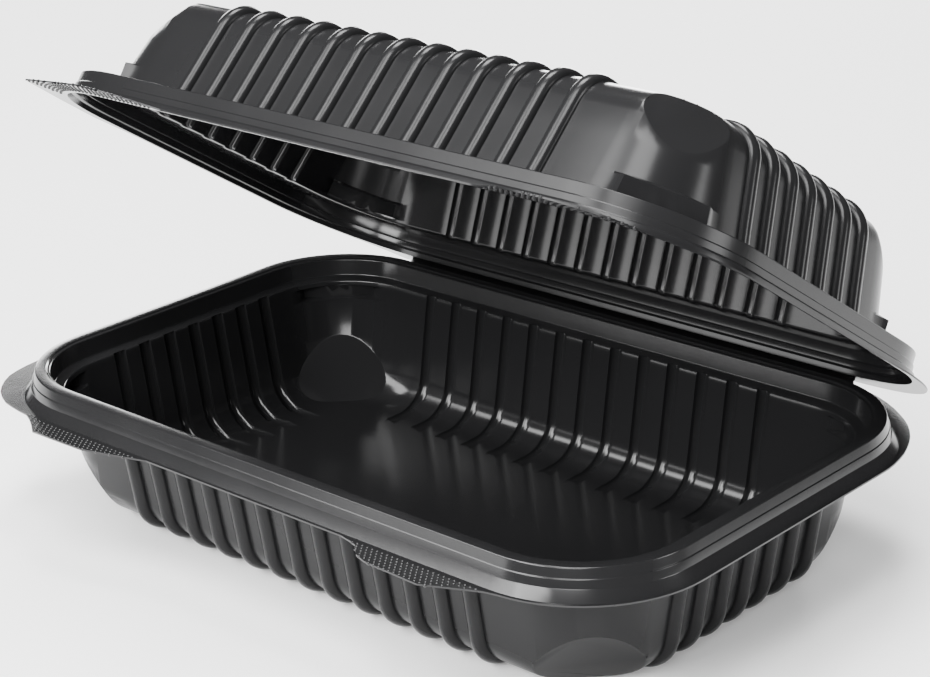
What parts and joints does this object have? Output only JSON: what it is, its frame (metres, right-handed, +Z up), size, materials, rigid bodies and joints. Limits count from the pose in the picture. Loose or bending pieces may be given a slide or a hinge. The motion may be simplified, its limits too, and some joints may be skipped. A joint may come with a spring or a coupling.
{
  "type": "takeaway meal container",
  "caption": "Shallow ribbed plastic food tray with rounded corners and a matching domed lid hinged along one long side, standing part open.",
  "frame": {"origin": "centre of the flat underside of the tray, where it stands", "axes": "+Z up, +X along the long side, front edge with the grip tabs towards -Y, hinge along the back at +Y"},
  "size_m": [0.2264, 0.1592, 0.1362],
  "materials": {
    "tray_plastic": "gloss black, thin formed sheet",
    "lid_plastic": "gloss black, thin formed sheet"
  },
  "bodies": {
    "tray": {"tray": "tray_plastic"},
    "lid": {"lid": "lid_plastic"}
  },
  "joints": [
    {"name": "lid_hinge", "type": "hinge", "parent": "tray", "child": "lid", "pos_m": [0, 0.0802, 0.0341], "axis": [-1, 0, 0], "range_deg": [-33, 142]}
  ]
}
